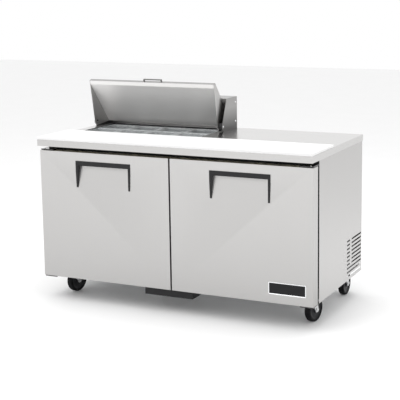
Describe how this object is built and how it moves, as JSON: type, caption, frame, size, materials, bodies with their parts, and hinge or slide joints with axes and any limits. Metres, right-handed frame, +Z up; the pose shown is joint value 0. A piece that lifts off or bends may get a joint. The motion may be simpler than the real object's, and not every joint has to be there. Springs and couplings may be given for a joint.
{
  "type": "sandwich prep table",
  "caption": "Refrigerated stainless sandwich prep table on castors, with a full-length cutting board, lift-out food pans and a hinged wedge lid under a rear hood.",
  "frame": {"origin": "on the floor under the centre of the worktop", "axes": "+X to the user's right along the doors, +Y to the back, +Z up"},
  "size_m": [1.534, 0.766, 1.1462],
  "materials": {
    "stainless": "brushed, satin",
    "stainless_bar": "brushed",
    "zinc_steel": "bright zinc plate",
    "galvanised": "galvanised, spangled",
    "board_poly": "fine matt grain",
    "pan_poly": "clear",
    "black_plastic": "fine texture",
    "gasket_rubber": "matt",
    "wheel_rubber": "satin",
    "liner_white": "satin",
    "foam": "foam",
    "shelf_wire": "epoxy coated",
    "fin_aluminium": "satin",
    "fan_plastic": "satin",
    "black_enamel": "gloss enamel",
    "copper": "bright"
  },
  "bodies": {
    "root": {"back_panel": "galvanised", "base_frame": "galvanised", "cabinet_liner": "liner_white", "castor_plates": "zinc_steel", "compressor": "black_enamel", "condensate_tray": "black_plastic", "condenser_coil": "fin_aluminium", "control_box": "fan_plastic", "evaporator_coil": "fin_aluminium", "evaporator_housing": "liner_white", "fan_motors": "black_enamel", "front_frame": "black_plastic", "hinge_brackets": "black_enamel", "hood_cover": "stainless", "hood_pivots": "black_plastic", "hood_sides": "stainless", "insulation": "foam", "pan_rails": "stainless_bar", "refrigerant_pipes": "copper", "screws": "zinc_steel", "shelf_standards": "shelf_wire", "side_panel_left": "stainless", "side_panel_right": "stainless", "unit_base_plate": "galvanised", "well_liner": "black_plastic", "wire_shelves": "shelf_wire", "worktop": "stainless"},
    "brake_front_left": {"brake_pedal_front_left": "zinc_steel"},
    "brake_front_right": {"brake_pedal_front_right": "zinc_steel"},
    "castor_front_left": {"castor_fork_front_left": "zinc_steel"},
    "castor_front_right": {"castor_fork_front_right": "zinc_steel"},
    "castor_rear_left": {"castor_fork_rear_left": "zinc_steel"},
    "castor_rear_right": {"castor_fork_rear_right": "zinc_steel"},
    "wheel_front_left": {"castor_wheel_front_left": "wheel_rubber"},
    "wheel_front_right": {"castor_wheel_front_right": "wheel_rubber"},
    "wheel_rear_left": {"castor_wheel_rear_left": "wheel_rubber"},
    "wheel_rear_right": {"castor_wheel_rear_right": "wheel_rubber"},
    "condenser_fan_rotor": {"condenser_fan": "fan_plastic"},
    "cutting_board": {"cutting_board": "board_poly"},
    "door_left": {"door_gasket_left": "gasket_rubber", "door_handle_left": "black_plastic", "door_liner_left": "liner_white", "door_skin_left": "stainless"},
    "door_right": {"door_gasket_right": "gasket_rubber", "door_handle_right": "black_plastic", "door_liner_right": "liner_white", "door_skin_right": "stainless"},
    "evaporator_fan_rotor": {"evaporator_fan": "fan_plastic"},
    "food_pan_1": {"food_pan_1": "pan_poly"},
    "food_pan_2": {"food_pan_2": "pan_poly"},
    "food_pan_3": {"food_pan_3": "pan_poly"},
    "food_pan_4": {"food_pan_4": "pan_poly"},
    "food_pan_5": {"food_pan_5": "pan_poly"},
    "food_pan_6": {"food_pan_6": "pan_poly"},
    "food_pan_7": {"food_pan_7": "pan_poly"},
    "food_pan_8": {"food_pan_8": "pan_poly"},
    "lid": {"lid_handle": "stainless_bar", "lid_liner": "stainless", "lid_skin": "stainless"},
    "knob": {"thermostat_knob": "black_plastic"}
  },
  "joints": [
    {"name": "lid_hinge", "type": "hinge", "parent": "root", "child": "lid", "pos_m": [-0.37, 0.2, 0.892], "axis": [-1, 0, 0], "range_deg": [-80, 0]},
    {"name": "door_left_hinge", "type": "hinge", "parent": "root", "child": "door_left", "pos_m": [-0.746, -0.348, 0.467], "axis": [0, 0, -1], "range_deg": [0, 95]},
    {"name": "door_right_hinge", "type": "hinge", "parent": "root", "child": "door_right", "pos_m": [0.746, -0.348, 0.467], "axis": [0, 0, 1], "range_deg": [0, 95]},
    {"name": "board_lift", "type": "slide", "parent": "root", "child": "cutting_board", "axis": [0, 0, 1], "range_m": [0, 0.1]},
    {"name": "pan_1_lift", "type": "slide", "parent": "root", "child": "food_pan_1", "axis": [0, 0, 1], "range_m": [0, 0.15]},
    {"name": "pan_2_lift", "type": "slide", "parent": "root", "child": "food_pan_2", "axis": [0, 0, 1], "range_m": [0, 0.15]},
    {"name": "pan_3_lift", "type": "slide", "parent": "root", "child": "food_pan_3", "axis": [0, 0, 1], "range_m": [0, 0.15]},
    {"name": "pan_4_lift", "type": "slide", "parent": "root", "child": "food_pan_4", "axis": [0, 0, 1], "range_m": [0, 0.15]},
    {"name": "pan_5_lift", "type": "slide", "parent": "root", "child": "food_pan_5", "axis": [0, 0, 1], "range_m": [0, 0.04]},
    {"name": "pan_6_lift", "type": "slide", "parent": "root", "child": "food_pan_6", "axis": [0, 0, 1], "range_m": [0, 0.04]},
    {"name": "pan_7_lift", "type": "slide", "parent": "root", "child": "food_pan_7", "axis": [0, 0, 1], "range_m": [0, 0.04]},
    {"name": "pan_8_lift", "type": "slide", "parent": "root", "child": "food_pan_8", "axis": [0, 0, 1], "range_m": [0, 0.04]},
    {"name": "swivel_front_left", "type": "hinge", "parent": "root", "child": "castor_front_left", "pos_m": [-0.69, -0.215, 0.13], "axis": [0, 0, 1], "continuous": true},
    {"name": "wheel_front_left_spin", "type": "hinge", "parent": "castor_front_left", "child": "wheel_front_left", "pos_m": [-0.68275, -0.1777, 0.0635], "axis": [0.9816, -0.1908, 0], "continuous": true},
    {"name": "brake_front_left_press", "type": "hinge", "parent": "castor_front_left", "child": "brake_front_left", "pos_m": [-0.68275, -0.1777, 0.107], "axis": [-0.9816, 0.1908, 0], "range_deg": [0, 8]},
    {"name": "swivel_front_right", "type": "hinge", "parent": "root", "child": "castor_front_right", "pos_m": [0.69, -0.215, 0.13], "axis": [0, 0, 1], "continuous": true},
    {"name": "wheel_front_right_spin", "type": "hinge", "parent": "castor_front_right", "child": "wheel_front_right", "pos_m": [0.69725, -0.1777, 0.0635], "axis": [0.9816, -0.1908, 0], "continuous": true},
    {"name": "brake_front_right_press", "type": "hinge", "parent": "castor_front_right", "child": "brake_front_right", "pos_m": [0.69725, -0.1777, 0.107], "axis": [-0.9816, 0.1908, 0], "range_deg": [0, 8]},
    {"name": "swivel_rear_left", "type": "hinge", "parent": "root", "child": "castor_rear_left", "pos_m": [-0.69, 0.281, 0.13], "axis": [0, 0, 1], "continuous": true},
    {"name": "wheel_rear_left_spin", "type": "hinge", "parent": "castor_rear_left", "child": "wheel_rear_left", "pos_m": [-0.69, 0.319, 0.0635], "axis": [1, 0, 0], "continuous": true},
    {"name": "swivel_rear_right", "type": "hinge", "parent": "root", "child": "castor_rear_right", "pos_m": [0.69, 0.281, 0.13], "axis": [0, 0, 1], "continuous": true},
    {"name": "wheel_rear_right_spin", "type": "hinge", "parent": "castor_rear_right", "child": "wheel_rear_right", "pos_m": [0.69, 0.319, 0.0635], "axis": [1, 0, 0], "continuous": true},
    {"name": "evaporator_fan_spin", "type": "hinge", "parent": "root", "child": "evaporator_fan_rotor", "pos_m": [0.51, 0.174, 0.6625], "axis": [0, 1, 0], "continuous": true},
    {"name": "condenser_fan_spin", "type": "hinge", "parent": "root", "child": "condenser_fan_rotor", "pos_m": [0.686, 0.252, 0.27], "axis": [1, 0, 0], "continuous": true},
    {"name": "temperature_turn", "type": "hinge", "parent": "root", "child": "knob", "pos_m": [0.368, 0.1375, 0.6625], "axis": [0, 1, 0], "range_deg": [0, 270]}
  ]
}
